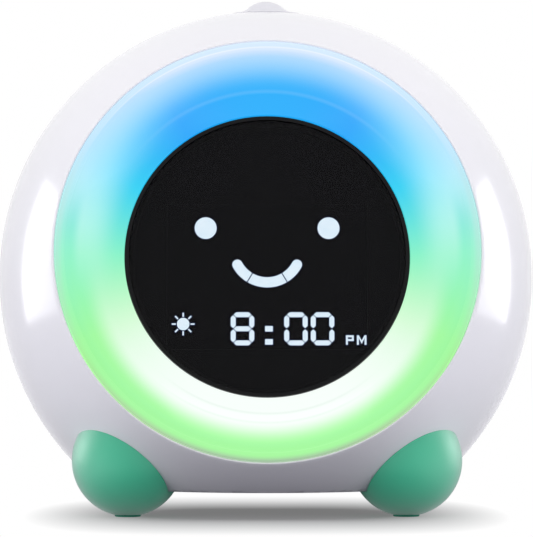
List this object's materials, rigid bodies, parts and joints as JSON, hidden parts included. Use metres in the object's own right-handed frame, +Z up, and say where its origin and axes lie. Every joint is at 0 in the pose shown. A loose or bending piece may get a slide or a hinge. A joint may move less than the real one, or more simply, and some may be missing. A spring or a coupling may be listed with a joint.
{
  "type": "kids alarm clock with night light",
  "caption": "Ball-shaped bedside alarm clock with a tilted glowing dish round a dark display, a snooze button on top, rear controls and ball feet.",
  "frame": {"origin": "on the table, under the centre of the object's box", "axes": "+Z up, the face looks towards -Y, +X to the right of someone who looks at the face"},
  "size_m": [0.15, 0.1014, 0.1435],
  "materials": {
    "shell": "high-gloss moulded plastic, near white",
    "milky": "glossy milky light diffuser, lit from behind: blue at the top through turquoise to green at the bottom",
    "milky_button": "glossy milky plastic",
    "inner_white": "matte white moulding",
    "circuit_board": "green solder mask",
    "lamp": "white surface-mount lamp",
    "screw_steel": "zinc-plated steel",
    "black_plastic": "gloss black moulding",
    "smoked_lens": "smoked clear acrylic",
    "gasket": "black foam tape",
    "dark_panel": "black liquid-crystal glass",
    "lit_segment": "lit display segment, pale blue-white",
    "chip_black": "black epoxy package",
    "ribbon": "flat grey ribbon",
    "button_plastic": "satin pale grey moulding",
    "contact_metal": "nickel-plated sheet",
    "speaker_steel": "black lacquered basket",
    "speaker_paper": "black paper cone",
    "magnet": "ferrite magnet",
    "cell_sleeve": "plain coloured sleeve, no print",
    "foot_plastic": "satin green moulded plastic",
    "pad_rubber": "dark anti-slip rubber"
  },
  "bodies": {
    "clock_body": {"front_housing": "shell", "rear_housing": "shell", "housing_screws": "screw_steel", "diffuser_ring": "milky", "light_pan": "inner_white", "led_ring_board": "circuit_board", "ring_leds": "lamp", "pan_screws": "screw_steel", "display_bezel": "black_plastic", "bezel_screws": "screw_steel", "display_lens": "smoked_lens", "lens_gasket": "gasket", "lcd_glass": "dark_panel", "lcd_face_segments": "lit_segment", "lcd_time_segments": "lit_segment", "lcd_frame": "black_plastic", "lcd_backlight": "inner_white", "main_board": "circuit_board", "main_board_parts": "chip_black", "board_screws": "screw_steel", "ribbon_cable": "ribbon", "top_button_spring": "screw_steel", "top_switch": "chip_black", "top_switch_board": "circuit_board", "top_bracket": "inner_white", "bracket_screws": "screw_steel", "function_switches": "chip_black", "button_boards": "circuit_board", "button_board_screws": "screw_steel", "lock_switch_case": "contact_metal", "speaker_frame": "speaker_steel", "speaker_cone": "speaker_paper", "speaker_magnet": "magnet", "battery_cells": "cell_sleeve", "battery_contacts": "contact_metal", "power_board": "circuit_board", "power_inlet": "contact_metal", "power_board_screws": "screw_steel", "front_left_foot": "foot_plastic", "front_right_foot": "foot_plastic", "rear_left_foot": "foot_plastic", "rear_right_foot": "foot_plastic", "foot_pads": "pad_rubber", "foot_screws": "screw_steel"},
    "snooze": {"top_button": "milky_button"},
    "light": {"light_button": "button_plastic"},
    "brightness": {"brightness_button": "button_plastic"},
    "sound": {"sound_button": "button_plastic"},
    "volume_down": {"volume_down_button": "button_plastic"},
    "volume_up": {"volume_up_button": "button_plastic"},
    "alarm": {"alarm_button": "button_plastic"},
    "lock": {"lock_switch_knob": "button_plastic"},
    "door": {"battery_door": "shell", "door_screw": "screw_steel"}
  },
  "joints": [
    {"name": "snooze_press", "type": "slide", "parent": "clock_body", "child": "snooze", "axis": [0, 0, -1], "range_m": [0, 0.0012], "stiffness_N_per_m": 600, "deforming": ["top_button_spring"]},
    {"name": "light_press", "type": "slide", "parent": "clock_body", "child": "light", "axis": [0, -1, 0], "range_m": [0, 0.0006], "stiffness_N_per_m": 900},
    {"name": "brightness_press", "type": "slide", "parent": "clock_body", "child": "brightness", "axis": [0, -1, 0], "range_m": [0, 0.0006], "stiffness_N_per_m": 900},
    {"name": "sound_press", "type": "slide", "parent": "clock_body", "child": "sound", "axis": [0, -1, 0], "range_m": [0, 0.0006], "stiffness_N_per_m": 900},
    {"name": "volume_down_press", "type": "slide", "parent": "clock_body", "child": "volume_down", "axis": [0, -1, 0], "range_m": [0, 0.0006], "stiffness_N_per_m": 900},
    {"name": "volume_up_press", "type": "slide", "parent": "clock_body", "child": "volume_up", "axis": [0, -1, 0], "range_m": [0, 0.0006], "stiffness_N_per_m": 900},
    {"name": "alarm_press", "type": "slide", "parent": "clock_body", "child": "alarm", "axis": [0, -1, 0], "range_m": [0, 0.0006], "stiffness_N_per_m": 900},
    {"name": "lock_slide", "type": "slide", "parent": "clock_body", "child": "lock", "axis": [1, 0, 0], "range_m": [0, 0.003]},
    {"name": "battery_lift", "type": "slide", "parent": "clock_body", "child": "door", "axis": [0, 1, 0], "range_m": [0, 0.02]}
  ]
}
